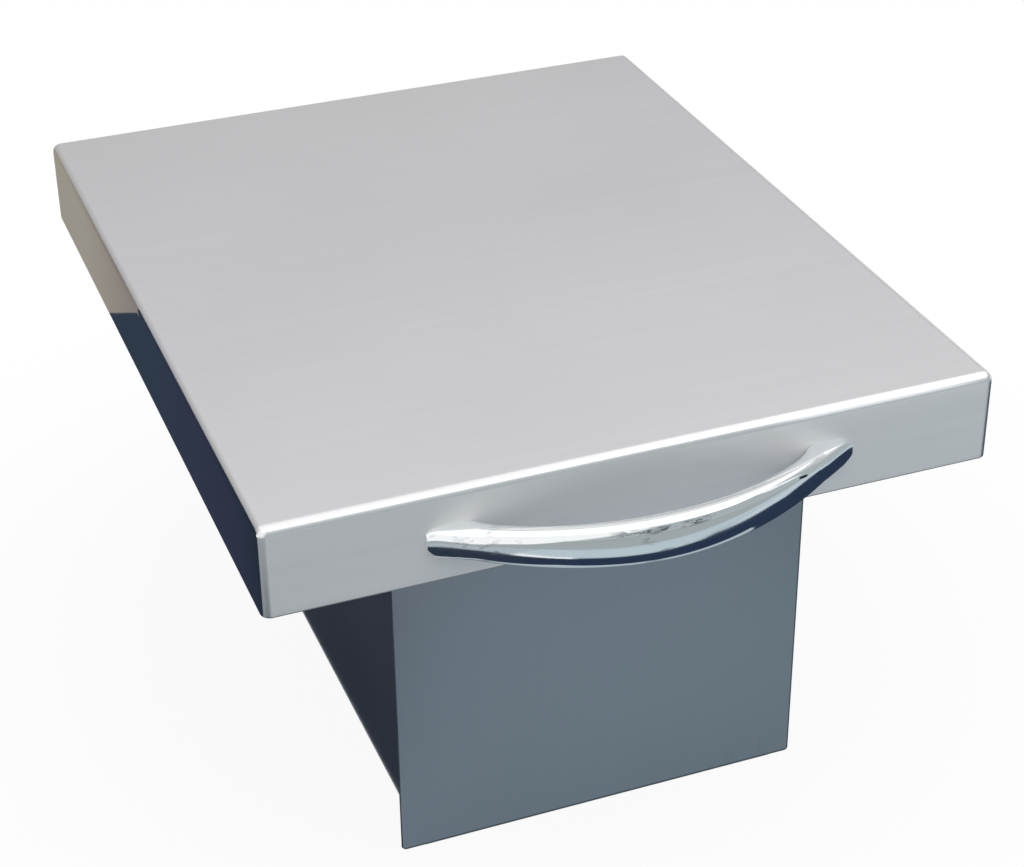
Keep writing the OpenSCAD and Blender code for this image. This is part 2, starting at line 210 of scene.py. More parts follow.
def outline_ring(half_x, half_y, radius, offset, z, across, deep, corner):
    """One ring of a folded pan: a rectangle with round corners, offset inwards, at height z."""
    turn = max(radius - offset, 0.0)
    centre_x, centre_y = half_x - offset - turn, half_y - offset - turn
    arcs = []
    for sx, sy, start in ((1, -1, -90), (1, 1, 0), (-1, 1, 90), (-1, -1, 180)):
        arcs.append(arc(sx * centre_x, sy * centre_y, turn, start, start + 90, corner))
    ring = []
    for number, bend in enumerate(arcs):
        ring += bend
        first, last = bend[-1], arcs[(number + 1) % 4][0]
        parts = deep if number % 2 == 0 else across
        for k in range(1, parts):
            t = k / parts
            ring.append((first[0] + (last[0] - first[0]) * t, first[1] + (last[1] - first[1]) * t))
    return [(x, y, z) for x, y in ring]


def pan(name, half_x, half_y, radius, profile, across, deep, corner, caps=True):
    """A folded pan. profile is a list of (offset, z). With caps it starts and ends on flat sheets."""
    verts, faces = [], []
    rows = []
    for offset, z in profile:
        ring = outline_ring(half_x, half_y, radius, offset, z, across, deep, corner)
        rows.append(range(len(verts), len(verts) + len(ring)))
        verts += ring
    pairs = list(zip(rows, rows[1:]))
    if not caps:
        pairs.append((rows[-1], rows[0]))
    for a, b in pairs:
        faces += band(a, b)
    if caps:
        for offset, z in (profile[0], profile[-1]):
            start = len(verts)
            wide, long = half_x - offset, half_y - offset
            for j in range(deep + 1):
                for i in range(across + 1):
                    verts.append((wide * (2 * i / across - 1), long * (2 * j / deep - 1), z))
            for j in range(deep):
                for i in range(across):
                    k = start + j * (across + 1) + i
                    faces.append((k, k + 1, k + across + 2, k + across + 1))
    return keep_mesh(name, verts, faces)


def lathe(profile, matrix, sides=32):
    """Vertices and faces of a turned piece. profile is (radius, height), closed on the axis."""
    verts, faces = [], []
    for radius, height in profile:
        for k in range(sides):
            a = 2 * math.pi * k / sides
            place = Vector((radius * math.cos(a), radius * math.sin(a), height))
            verts.append(tuple(matrix @ place))
    rows = [range(row * sides, (row + 1) * sides) for row in range(len(profile))]
    for a, b in zip(rows, rows[1:]):
        faces += band(a, b)
    return verts, faces


def join_parts(name, parts):
    """One object from several lists of vertices and faces."""
    verts, faces = [], []
    for some_verts, some_faces in parts:
        start = len(verts)
        verts += some_verts
        faces += [tuple(i + start for i in face) for face in some_faces]
    return keep_mesh(name, verts, faces)


def strip_solid(name, outer, inner, levels, present, to_space, rounding):
    """A bent sheet with cut-outs. outer and inner are its two faces as chains of points, levels run
    along the bend, and present(i, k) says if the sheet has metal at chain cell i and level cell k."""
    verts, faces, index = [], [], {}

    def corner(side, i, k):
        key = (side, i, k)
        if key not in index:
            index[key] = len(verts)
            verts.append(tuple(to_space((outer, inner)[side][i], levels[k])))
        return index[key]

    chain, tiers = len(outer) - 1, len(levels) - 1

    def metal(i, k):
        return 0 <= i < chain and 0 <= k < tiers and present(i, k)

    for i in range(chain):
        for k in range(tiers):
            if not metal(i, k):
                continue
            square = ((i, k), (i + 1, k), (i + 1, k + 1), (i, k + 1))
            faces.append(tuple(corner(0, *c) for c in square))
            faces.append(tuple(corner(1, *c) for c in reversed(square)))
            beside = ((i, k - 1), (i + 1, k), (i, k + 1), (i - 1, k))
            for side in range(4):
                if not metal(*beside[side]):
                    a, b = square[side], square[(side + 1) % 4]
                    faces.append((corner(0, *a), corner(0, *b), corner(1, *b), corner(1, *a)))
    return keep_mesh(name, verts, faces, rounding=rounding)


# Material tools


class Nodes:
    """A short way to write a node tree."""

    def __init__(self, tree):
        self.tree = tree
        tree.nodes.clear()

    def add(self, kind, **settings):
        made = self.tree.nodes.new(kind)
        for key, value in settings.items():
            setattr(made, key, value)
        return made

    def put(self, target, value):
        if isinstance(value, bpy.types.NodeSocket):
            self.tree.links.new(value, target)
        elif isinstance(value, tuple) and len(value) == 3 and target.type == "RGBA":
            target.default_value = (*value, 1.0)
        else:
            target.default_value = value

    def math(self, operation, a, b=0.0, c=0.0):
        made = self.add("ShaderNodeMath", operation=operation)
        for socket, value in zip(made.inputs, (a, b, c)):
            self.put(socket, value)
        return made.outputs[0]

    def times(self, a, b):
        return self.math("MULTIPLY", a, b)

    def between(self, value, low, high, to_low=0.0, to_high=1.0, smooth=True):
        made = self.add("ShaderNodeMapRange", clamp=True)
        if smooth:
            made.interpolation_type = "SMOOTHSTEP"
        for socket, number in zip(made.inputs, (value, low, high, to_low, to_high)):
            self.put(socket, number)
        return made.outputs[0]

    def mix(self, factor, a, b):
        made = self.add("ShaderNodeMix", data_type="RGBA")
        self.put(made.inputs["Factor"], factor)
        self.put(made.inputs[6], a)
        self.put(made.inputs[7], b)
        return made.outputs[2]

    def noise(self, vector, scale, detail=2.0, rough=0.5, stretch=None, offset=None):
        if stretch or offset:
            mapping = self.add("ShaderNodeMapping")
            self.put(mapping.inputs["Vector"], vector)
            if stretch:
                mapping.inputs["Scale"].default_value = stretch
            if offset:
                mapping.inputs["Location"].default_value = offset
            vector = mapping.outputs[0]
        made = self.add("ShaderNodeTexNoise")
        self.put(made.inputs["Vector"], vector)
        made.inputs["Scale"].default_value = scale
        made.inputs["Detail"].default_value = detail
        made.inputs["Roughness"].default_value = rough
        return made.outputs["Fac"]

    def place(self):
        return self.add("ShaderNodeTexCoord").outputs["Object"]

    def axes(self, vector):
        split = self.add("ShaderNodeSeparateXYZ")
        self.put(split.inputs[0], vector)
        return split.outputs

    def relief(self, height, strength, distance):
        made = self.add("ShaderNodeBump")
        made.inputs["Strength"].default_value = strength
        made.inputs["Distance"].default_value = distance
        self.put(made.inputs["Height"], height)
        return made.outputs[0]

    def surface(self, colour, rough, normal, metallic=1.0):
        shader = self.add("ShaderNodeBsdfPrincipled")
        shader.inputs["Metallic"].default_value = metallic
        self.put(shader.inputs["Base Color"], colour)
        self.put(shader.inputs["Roughness"], rough)
        self.put(shader.inputs["Normal"], normal)
        self.finish(shader.outputs[0])
        return shader

    def choose(self, factor, a, b):
        made = self.add("ShaderNodeMixShader")
        for socket, value in zip(made.inputs, (factor, a, b)):
            self.put(socket, value)
        return made.outputs[0]

    def finish(self, shader, kind="ShaderNodeOutputMaterial"):
        self.put(self.add(kind).inputs["Surface"], shader)


def new_material(name):
    material = bpy.data.materials.new(name)
    material.use_nodes = True
    return material, Nodes(material.node_tree)


def corner_mask(n, place, low, high, reach):
    """1 on the edges and corners of a box, fading to 0 at reach inside them."""
    x, y, z = n.axes(place)
    middle = [(a + b) / 2 for a, b in zip(low, high)]
    half = [(b - a) / 2 for a, b in zip(low, high)]
    near = []
    for axis, value in enumerate((x, y, z)):
        away = n.math("ABSOLUTE", n.math("SUBTRACT", value, middle[axis]))
        near.append(n.between(away, half[axis] - reach, half[axis] - reach * 0.2))
    pairs = [n.math("MINIMUM", near[i], near[j]) for i, j in ((0, 1), (1, 2), (0, 2))]
    return n.math("MAXIMUM", n.math("MAXIMUM", pairs[0], pairs[1]), pairs[2])


WORN_REACH = 4 * MM


def brushed(
    name, colour, rough, streak, cloud, tint=None, anisotropy=0.0, fine=1700.0, bump=0.12, box=None,
    scratches=0.0, side_rough=None, front_rough=None, edge_shade=None,
):
    """Brushed sheet steel: fine grain along U, soft clouds, sparse scratches, brighter worn edges,
    and a painted shade line. streak and cloud are how far the grain and the clouds shift the shade.
    side_rough and front_rough, given together, are the finishes of upright faces that look along X
    and along Y. The last argument gives the height of the sheet's lower cut edge, its half width if
    its ends are shaded too, and the width of the dark painted shade line along them, which stands
    for the shadow at the sheet's edge."""
    material, n = new_material(name)
    place = n.place()
    grain = n.add("ShaderNodeUVMap", uv_map=GRAIN_UV).outputs[0]
    hair = n.noise(grain, 1.0, 3.0, 0.6, stretch=(9.0, fine, 1.0))
    strand = n.noise(grain, 1.0, 2.0, 0.5, stretch=(2.5, fine * 0.14, 1.0), offset=(3.1, 7.7, 0.0))
    soft = n.noise(place, 7.0, 3.0, 0.5)
    broad = n.noise(place, 2.6, 1.0, 0.4, offset=(0.4, 1.7, 2.3))
    lines = n.math("MULTIPLY_ADD", hair, 0.6, n.times(strand, 0.4))
    shade = n.between(lines, 0.3, 0.7, 1.0 - streak, 1.0 + streak, smooth=False)
    shade = n.times(shade, n.between(soft, 0.3, 0.7, 1.0 - cloud, 1.0 + cloud, smooth=False))
    base = n.mix(n.between(broad, 0.35, 0.65), colour, tint or colour)
    scaled = n.add("ShaderNodeVectorMath", operation="SCALE")
    n.put(scaled.inputs[0], base)
    n.put(scaled.inputs["Scale"], shade)
    base = scaled.outputs[0]
    finish = n.between(lines, 0.25, 0.75, rough - streak * 0.8, rough + streak * 0.8, smooth=False)
    finish = n.math("ADD", finish, n.between(soft, 0.3, 0.7, -cloud * 0.35, cloud * 0.35, smooth=False))
    if side_rough is not None:
        facing = n.axes(n.add("ShaderNodeTexCoord").outputs["Normal"])
        for axis, own_rough, start in ((0, side_rough, 0.80), (1, front_rough, 0.975)):
            upright = n.between(n.math("ABSOLUTE", facing[axis]), start, start + 0.02)
            finish = n.math("MULTIPLY_ADD", upright, own_rough - rough, finish)
    if box is not None:
        worn = corner_mask(n, place, *box, WORN_REACH)
        patchy = n.times(worn, n.between(n.noise(place, 160.0, 2.0), 0.25, 0.6, 0.45, 1.0))
        finish = n.math("SUBTRACT", finish, n.times(patchy, 0.06))
        base = n.mix(n.times(patchy, 0.35), base, tuple(min(c * 1.14, 0.9) for c in colour))
    if scratches:
        mark = n.noise(grain, 1.0, 1.0, 0.5, stretch=(11.0, 760.0, 1.0), offset=(9.2, 1.3, 0.0))
        gate = n.noise(place, 24.0, 1.0, 0.5, offset=(5.0, 2.0, 8.0))
        mark = n.times(n.between(mark, 0.71, 0.76), n.between(gate, 0.56, 0.66))
        base = n.mix(n.times(mark, scratches), base, tuple(c * 0.62 for c in colour))
        finish = n.math("ADD", finish, n.times(mark, 0.12))
    # Painted shade: a dark line along the lower edge, and along the ends where a half width is given,
    # standing for the shadow at the sheet's edge
    if edge_shade is not None:
        low, half, reach = edge_shade
        x, _, z = n.axes(place)
        painted_edge_shade = n.between(z, low + reach * 0.6, low + reach * 1.3, 1.0, 0.0)
        if half is not None:
            painted_edge_shade = n.math("MAXIMUM", painted_edge_shade, n.between(x, half - reach, half - reach * 0.5))
        base = n.mix(n.times(painted_edge_shade, 0.75), base, tuple(c * 0.2 for c in colour))
    shader = n.surface(base, finish, n.relief(lines, bump, 0.02 * MM))
    if anisotropy:
        shader.inputs["Anisotropic"].default_value = anisotropy
        shader.inputs["Anisotropic Rotation"].default_value = 0.25
        tangent = n.add("ShaderNodeTangent", direction_type="UV_MAP", uv_map=GRAIN_UV)
        n.put(shader.inputs["Tangent"], tangent.outputs[0])
    return material


# Marks on the handle, in metres: where they lie along X and how high above its middle line
SCUFF_START, SCUFF_END = (-0.030, -0.018), (0.006, 0.016)
SCUFF_ABOVE = 6.6 * MM
NICK_START, NICK_END = (0.0558, 0.0572), (0.0600, 0.0618)
NICK_X, NICK_SLOPE, NICK_ABOVE = 0.059, 0.18, 5.05 * MM
NICK_FRONT_Y = -0.190


def chrome(name):
    """Polished chrome plate with faint waves, tiny pits, rubbed streaks, a scuff and a nick."""
    material, n = new_material(name)
    place = n.place()
    soft = n.noise(place, 30.0, 2.0, 0.5)
    pits = n.noise(place, 520.0, 2.0, 0.6)
    streak = n.noise(place, 1.0, 3.0, 0.6, stretch=(60.0, 420.0, 420.0))
    gate = n.noise(place, 34.0, 1.0, 0.5, offset=(2.0, 4.0, 1.0))
    rubbed = n.times(n.between(streak, 0.55, 0.64), n.between(gate, 0.5, 0.62))
    x, y, z = n.axes(place)
    along = n.times(n.between(x, *SCUFF_START), n.between(x, *SCUFF_END, 1.0, 0.0))
    above = n.math("SUBTRACT", z, HANDLE_Z)
    level = n.math("ABSOLUTE", n.math("SUBTRACT", above, SCUFF_ABOVE))
    level = n.between(level, 0.4 * MM, 1.4 * MM, 1.0, 0.0)
    dashes = n.noise(place, 1.0, 3.0, 0.65, stretch=(210.0, 420.0, 900.0), offset=(0.0, 0.0, 5.0))
    scuff = n.times(n.times(along, level), n.between(dashes, 0.45, 0.53))
    rubbed = n.math("MAXIMUM", n.times(rubbed, 0.45), scuff)
    base = n.mix(rubbed, (0.90, 0.925, 0.93), (0.24, 0.25, 0.26))
    # A short dark nick in the plate near the right foot
    nick = n.times(n.between(x, *NICK_START), n.between(x, *NICK_END, 1.0, 0.0))
    level = n.math("MULTIPLY_ADD", n.math("SUBTRACT", x, NICK_X), NICK_SLOPE, above)
    level = n.math("ABSOLUTE", n.math("SUBTRACT", level, NICK_ABOVE))
    nick = n.times(nick, n.between(level, 0.30 * MM, 0.60 * MM, 1.0, 0.0))
    nick = n.times(nick, n.math("LESS_THAN", y, NICK_FRONT_Y))
    base = n.mix(nick, base, (0.02, 0.022, 0.025))
    finish = n.between(soft, 0.3, 0.7, 0.055, 0.10, smooth=False)
    finish = n.math("ADD", finish, n.times(rubbed, 0.2))
    n.surface(base, finish, n.relief(n.math("MULTIPLY_ADD", pits, 0.3, soft), 0.10, 0.05 * MM))
    return material


def rubber(name):
    """Black extruded rubber with fine lines along it and a dusty bloom."""
    material, n = new_material(name)
    place = n.place()
    grain = n.add("ShaderNodeUVMap", uv_map=GRAIN_UV).outputs[0]
    lines = n.noise(grain, 1.0, 2.0, 0.5, stretch=(4.0, 1500.0, 1.0))
    dust = n.noise(place, 38.0, 4.0, 0.6)
    specks = n.noise(place, 900.0, 2.0, 0.6)
    base = n.mix(n.between(dust, 0.45, 0.75), (0.022, 0.022, 0.024), (0.055, 0.054, 0.052))
    finish = n.between(dust, 0.3, 0.7, 0.48, 0.66, smooth=False)
    height = n.math("MULTIPLY_ADD", specks, 0.4, lines)
    n.surface(base, finish, n.relief(height, 0.35, 0.06 * MM), metallic=0.0)
    return material


# Places, in metres, from the frame

lid_low, lid_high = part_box("lid_shell")
liner_low, liner_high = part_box("lid_liner")
flange_low, flange_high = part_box("counter_flange")
rim_low, rim_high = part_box("rim_upstand")
gasket_low, gasket_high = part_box("rim_gasket")
panel_low, panel_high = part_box("chute_front_panel")
rear_low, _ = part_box("chute_rear_panel")
side_low, side_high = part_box("chute_side_right")
pin_low, pin_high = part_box("hinge_pin")

LID_X, LID_Y = lid_high.x, lid_high.y
LID_SHEET = 1.2 * MM
LID_BEND = 4.0 * MM
CHUTE_SHEET = 1.2 * MM
CHUTE_X, CHUTE_Y = 81.0 * MM, 146.0 * MM
SEAM_Z = -12.0 * MM
PIN_Y = (pin_low.y + pin_high.y) / 2
PIN_Z = (pin_low.z + pin_high.z) / 2
HINGE_HALF = 123.5 * MM
KNUCKLES = 13
RIVETS = 6
RIVET_PITCH = 2 * HINGE_HALF / RIVETS
RIVET_LINE = 10.3 * MM
RIVET_HEAD, RIVET_TAIL = 2.8 * MM, 2.3 * MM
RIVET_PROUD, RIVET_FLUSH, RIVET_SINK = 1.0 * MM, 0.14 * MM, 0.3 * MM
LEAF_FACE = 2.1 * MM
HANDLE_Z = 20.0 * MM

# Materials

# The lid and the chute get the painted shade line along their lower edges, the chute also at its upright
# edges on the right
lid_steel = brushed(
    "lid_steel", (0.875, 0.875, 0.882), 0.34, streak=0.022, cloud=0.018, tint=(0.885, 0.878, 0.892),
    anisotropy=0.3, bump=0.10, box=(lid_low, lid_high), scratches=0.2, side_rough=0.08, front_rough=0.66,
    edge_shade=(lid_low.z, None, 0.6 * MM),
)
liner_steel = brushed(
    "liner_steel", (0.54, 0.545, 0.55), 0.36, streak=0.03, cloud=0.04, tint=(0.52, 0.525, 0.53),
    fine=900.0, bump=0.08,
)
flange_steel = brushed(
    "flange_steel", (0.55, 0.555, 0.56), 0.28, streak=0.04, cloud=0.03, anisotropy=0.4, scratches=0.3,
)
chute_steel = brushed(
    "chute_steel", (0.350, 0.397, 0.435), 0.42, streak=0.02, cloud=0.035, tint=(0.370, 0.393, 0.445),
    fine=700.0, bump=0.06, scratches=0.2, edge_shade=(panel_low.z, panel_high.x, 1.0 * MM),
)
hinge_steel = brushed(
    "hinge_steel", (0.56, 0.56, 0.565), 0.30, streak=0.05, cloud=0.05, fine=1400.0, scratches=0.3,
)
pin_steel = brushed("pin_steel", (0.60, 0.60, 0.61), 0.22, streak=0.03, cloud=0.04)
rivet_steel = brushed("rivet_steel", (0.50, 0.505, 0.515), 0.33, streak=0.03, cloud=0.08, fine=800.0)
screw_steel = brushed("screw_steel", (0.53, 0.53, 0.54), 0.27, streak=0.04, cloud=0.06, fine=1200.0)
handle_chrome = chrome("handle_chrome")
gasket_rubber = rubber("gasket_rubber")

# Lid


def folded_lid():
    """The top sheet and its four skirts, from the outer face round the cut edge to the inner one."""
    inner_r = LID_BEND - LID_SHEET
    top, low = lid_high.z, lid_low.z
    edge = 0.3 * MM
    profile = arc(LID_BEND, top - LID_BEND, LID_BEND, 90, 180, 10)
    for t in (0.25, 0.5, 0.75):
        profile.append((0.0, top - LID_BEND + (low + edge - top + LID_BEND) * t))
    profile += arc(edge, low + edge, edge, 180, 270, 3)
    profile += arc(LID_SHEET - edge, low + edge, edge, 270, 360, 3)
    inner_top = top - LID_SHEET
    profile.append((LID_SHEET, (low + inner_top) / 2))
    profile += arc(LID_BEND, inner_top - inner_r, inner_r, 180, 90, 8)
    return pan("lid_shell_folded", LID_X, LID_Y, LID_BEND, profile, across=18, deep=22, corner=8)


place_piece(folded_lid(), lid_steel, "lid", ["lid_shell"])


def tray():
    """The liner: an upside-down pan with a welding flange under the lid's top sheet."""
    sheet, bend, brim = 0.8 * MM, 2.0 * MM, 4.0 * MM
    top, low = liner_high.z, liner_low.z
    half_x, half_y = liner_high.x - brim, liner_high.y - brim
    inner_r = bend - sheet
    root = 0.9 * MM
    profile = arc(bend, low + bend, bend, 270, 180, 7)
    profile.append((0.0, top - sheet - root - 0.3 * MM))
    profile += arc(-root, top - sheet - root, root, 0, 90, 5)
    profile.append((-brim + 0.2 * MM, top - sheet))
    profile += [(-brim, top - sheet + 0.2 * MM), (-brim, top - 0.15 * MM), (-brim + 0.15 * MM, top)]
    profile += arc(-root, top - sheet - root, root + sheet, 90, 0, 5)
    profile += arc(bend, low + bend, inner_r, 180, 270, 6)
    return pan("lid_liner_tray", half_x, half_y, bend, profile, across=12, deep=18, corner=6)


place_piece(tray(), liner_steel, "lid", ["lid_liner"])


def dimple(x, y, z, radius, rise, turn):
    """A spot weld's shallow mark, as a low lens on a face."""
    profile = [(0.0, rise), (radius * 0.35, rise * 0.93), (radius * 0.7, rise * 0.62)]
    profile += [(radius * 0.92, rise * 0.22), (radius, -0.05 * MM), (0.0, -0.05 * MM)]
    return lathe(profile, Matrix.Translation((x, y, z)) @ turn, 20)


def liner_spots():
    """Spot welds along the liner's flange, in rows that end short of its corners."""
    down = Matrix.Rotation(math.pi, 4, "X")
    x_line, y_line = liner_high.x - 2 * MM, liner_high.y - 2 * MM
    z = liner_high.z - 0.8 * MM
    radius, rise = 1.2 * MM, 0.1 * MM
    parts = []
    for i in range(9):
        y = y_line * (i - 4) / 4.45
        parts += [dimple(side * x_line, y, z, radius, rise, down) for side in (-1, 1)]
    for i in range(4):
        x = x_line * (i - 1.5) / 1.85
        parts += [dimple(x, side * y_line, z, radius, rise, down) for side in (-1, 1)]
    return join_parts("liner_spot_welds", parts)


place_piece(liner_spots(), rivet_steel, "lid")

# Handle


def bow_piece():
    """The bow handle as one smooth skin, with the same curves as its solid, worked out in mm."""
    half, heel, reach, gap = 88.6, 68.0, 33.5, 22.5
    stations, sides = 220, 72

    def front(x):
        return reach * (1 - (x / (half + 4)) ** 2) ** 1.2

    def back(x):
        rise = 1 - (x / heel) ** 2
        return gap * rise**0.8 if rise >= 0 else max(-5.0, -gap * (-rise) ** 0.8)

    def lift(x, blunt):
        tip = max(0.0, (abs(x) - half + 5) / 5)
        return (19 - 7 * (abs(x) / half) ** 1.7) / 2 * math.sqrt(1 - blunt * tip * tip)

    def squared(c):
        return math.copysign(abs(c) ** (2 / 2.7), c)

    def ring(x, scale=1.0, shift=0.0):
        middle, depth = -(front(x) + back(x)) / 2, (front(x) - back(x)) / 2
        points = []
        for j in range(sides):
            a = 2 * math.pi * j / sides
            y = middle - depth * squared(math.cos(a)) * scale
            z = lift(x, 0.8 if math.sin(a) < 0 else 0.3) * squared(math.sin(a)) * scale
            place = Vector((x + shift, min(y, 0.25), z)) * MM
            points.append((place.x, -LID_Y + place.y, HANDLE_Z + place.z))
        return points

    rings = []
    ends = ((0.02, 0.34), (0.45, 0.3), (0.75, 0.2), (0.92, 0.08))
    rings += [ring(-half, scale, -shift) for scale, shift in ends]
    for i in range(stations + 1):
        rings.append(ring(-half * math.cos(math.pi * i / stations)))
    rings += [ring(half, scale, shift) for scale, shift in reversed(ends)]
    verts = [p for r in rings for p in r]
    rows = [range(i * sides, (i + 1) * sides) for i in range(len(rings))]
    faces = [face for a, b in zip(rows, rows[1:]) for face in band(a, b)]
    faces += [tuple(rows[0]), tuple(rows[-1])]
    return keep_mesh("handle_bow_polished", verts, faces, math.radians(60))


place_piece(bow_piece(), handle_chrome, "lid", ["handle_bow"])

# Flange, rim and gasket


def flange_plate():
    """The plate on the worktop, with the duct's opening, four screw holes and the hinge's tab."""
    x, y, tab = flange_high.x, -flange_low.y, HINGE_HALF + 6 * MM
    hole_x, hole_y, hole_r = 120 * MM, 150 * MM, 2.75 * MM
    outline = rounded(
        [
            (-x, -y, 6 * MM), (x, -y, 6 * MM), (x, y, 6 * MM), (tab, y, 1.5 * MM),
            (tab, flange_high.y, 2 * MM), (-tab, flange_high.y, 2 * MM), (-tab, y, 1.5 * MM),
            (-x, y, 6 * MM),
        ]
    )
    holes = [box_outline(CHUTE_X, CHUTE_Y, 0.5 * MM, 3)]
    for sx in (-1, 1):
        for sy in (-1, 1):
            holes.append(arc(sx * hole_x, sy * hole_y, hole_r, 0, 360, 36)[:-1])
    return prism("counter_flange_plate", [outline] + holes, flange_low.z, flange_high.z, 0.25 * MM)


place_piece(flange_plate(), flange_steel, "chute", ["counter_flange"])


def rim_wall():
    """The raised rim round the opening."""
    loops = [
        box_outline(rim_high.x, rim_high.y, 1.5 * MM),
        box_outline(CHUTE_X, CHUTE_Y, 0.25 * MM, 3),
    ]
    return prism("rim_upstand_wall", loops, rim_low.z, rim_high.z, 0.2 * MM)


place_piece(rim_wall(), flange_steel, "chute", ["rim_upstand"])


def gasket_skin():
    """The edge trim: two legs that grip the rim and a round bulb on top."""
    foot, top = gasket_low.z, gasket_high.z
    bulb_r = 4.0 * MM
    crown = rim_high.z + 1.6 * MM
    leg, wall = 1.5 * MM, 1.5 * MM
    tip = 0.35 * MM
    profile = [(-0.06 * MM, foot + tip)]
    profile += arc(-tip - 0.1 * MM, foot + tip, tip, 300, 270, 2)
    profile += arc(-leg + tip, foot + tip, tip, 270, 180, 4)
    grooves = [foot + (2.0 + 1.9 * k) * MM for k in range(3)]
    groove, dent = 0.5 * MM, 0.22 * MM
    for z in grooves:
        profile += [(-leg, z), (-leg + dent, z + groove / 2), (-leg, z + groove)]
    profile += [(-leg, crown - 0.6 * MM), (-leg + 0.16 * MM, crown + 0.1 * MM)]
    profile += arc(wall / 2, top - bulb_r, bulb_r, 236, -56, 34)
    profile += [(wall + leg - 0.16 * MM, crown + 0.1 * MM), (wall + leg, crown - 0.6 * MM)]
    for z in reversed(grooves):
        profile += [(wall + leg, z + groove), (wall + leg - dent, z + groove / 2), (wall + leg, z)]
    profile += arc(wall + leg - tip, foot + tip, tip, 0, -90, 4)
    profile += [(wall + 0.06 * MM, foot + tip), (wall, rim_high.z), (0.0, rim_high.z)]
    return pan(
        "rim_gasket_trim", rim_high.x, rim_high.y, wall, profile, across=14, deep=22, corner=8,
        caps=False,
    )


place_piece(gasket_skin(), gasket_rubber, "chute", ["rim_gasket"])

# Chute


def panel(name, low_y):
    """A front or rear wall: as wide as its welded seams below the worktop, narrower at the neck."""
    wide, neck, low, top = panel_high.x, CHUTE_X, panel_low.z, panel_high.z
    outline = rounded(
        [
            (-wide, low, 1.6 * MM), (wide, low, 1.6 * MM), (wide, SEAM_Z, 1.2 * MM),
            (neck, SEAM_Z, 0.4 * MM), (neck, top, 0.6 * MM), (-neck, top, 0.6 * MM),
            (-neck, SEAM_Z, 0.4 * MM), (-wide, SEAM_Z, 1.2 * MM),
        ],
        5,
    )
    stand = Matrix(((1, 0, 0, 0), (0, 0, 1, 0), (0, 1, 0, 0), (0, 0, 0, 1)))
    return prism(name, [outline], low_y, low_y + CHUTE_SHEET, 0.22 * MM, stand)


def channel(name, side):
    """A side wall of the duct, folded outwards at both ends below the worktop."""
    outer_r, inner_r = 2.4 * MM, 1.2 * MM
    seam = CHUTE_Y - CHUTE_SHEET
    steps = 8
    fold_x, fold_y = CHUTE_X - CHUTE_SHEET + outer_r, seam - outer_r
    far_side, near_side = [(panel_high.x, -seam)], [(panel_high.x, -seam + CHUTE_SHEET)]
    far_side += arc(fold_x, -fold_y, outer_r, 270, 180, steps)
    near_side += arc(fold_x, -fold_y, inner_r, 270, 180, steps)
    far_side += [(x, -y) for x, y in reversed(far_side)]
    near_side += [(x, -y) for x, y in reversed(near_side)]
    last = len(far_side) - 2
    levels = [side_low.z, side_low.z / 2, SEAM_Z, side_high.z]

    def to_space(point, level):
        return (side * point[0], point[1], level)

    def present(i, k):
        return k < 2 or steps < i < last - steps

    return strip_solid(name, far_side, near_side, levels, present, to_space, 0.22 * MM)


for sheet, node in (
    (panel("chute_front_sheet", panel_low.y), "chute_front_panel"),
    (panel("chute_rear_sheet", rear_low.y), "chute_rear_panel"),
    (channel("chute_side_right_folded", 1), "chute_side_right"),
    (channel("chute_side_left_folded", -1), "chute_side_left"),
):
    place_piece(sheet, chute_steel, "chute", [node], along=(0, 0, 1))


def seam_spots():
    """Spot welds on the hidden side of the duct's four seams."""
    x, top, pitch = 87 * MM, -26 * MM, 24 * MM
    radius, rise = 2.0 * MM, 0.12 * MM
    parts = []
    for sy in (-1, 1):
        turn = Matrix.Rotation(math.pi / 2 * sy, 4, "X")
        y = sy * (CHUTE_Y - 2 * CHUTE_SHEET)
        for sx in (-1, 1):
            for i in range(6):
                parts.append(dimple(sx * x, y, top - i * pitch, radius, rise, turn))
    return join_parts("seam_spot_welds", parts)


place_piece(seam_spots(), rivet_steel, "chute")


def dome(radius, height, sink):
    """A rivet head's profile: a low dome with a rolled edge."""
    points = [(0.0, height)]
    for k in range(1, 8):
        a = math.radians(90 - 90 * k / 8)
        points.append((radius * math.cos(a), height * (0.25 + 0.75 * math.sin(a))))
    return points + [(radius, height * 0.2), (radius, -sink), (0.0, -sink)]


def rivet_end(radius, height, place, turn=Matrix.Identity(4)):
    """A rivet's head or tail at place, turned to look out of the sheet."""
    return lathe(dome(radius, height, RIVET_SINK), Matrix.Translation(place) @ turn)


def neck_rivets():
    """Ten rivets through the duct's neck and the rim, with heads inside and tails outside."""
    spots = []
    z = 9.75 * MM
    for side in (-1, 1):
        inward = Matrix.Rotation(-side * math.pi / 2, 4, "Y")
        for i in range(3):
            y = (i - 1) * 2 * CHUTE_Y / 3
            spots.append(((side * (CHUTE_X - CHUTE_SHEET), y, z), (side * rim_high.x, y, z), inward))
        inward = Matrix.Rotation(side * math.pi / 2, 4, "X")
        for i in range(2):
            x = (i - 0.5) * CHUTE_X
            spots.append(((x, side * (CHUTE_Y - CHUTE_SHEET), z), (x, side * rim_high.y, z), inward))
    parts = []
    for inside, outside, inward in spots:
        parts.append(rivet_end(RIVET_HEAD, RIVET_PROUD, inside, inward))
        parts.append(rivet_end(RIVET_TAIL, RIVET_PROUD, outside, inward.inverted()))
    return join_parts("neck_rivet_heads", parts)


place_piece(neck_rivets(), rivet_steel, "chute", ["neck_rivets"])

# Hinge


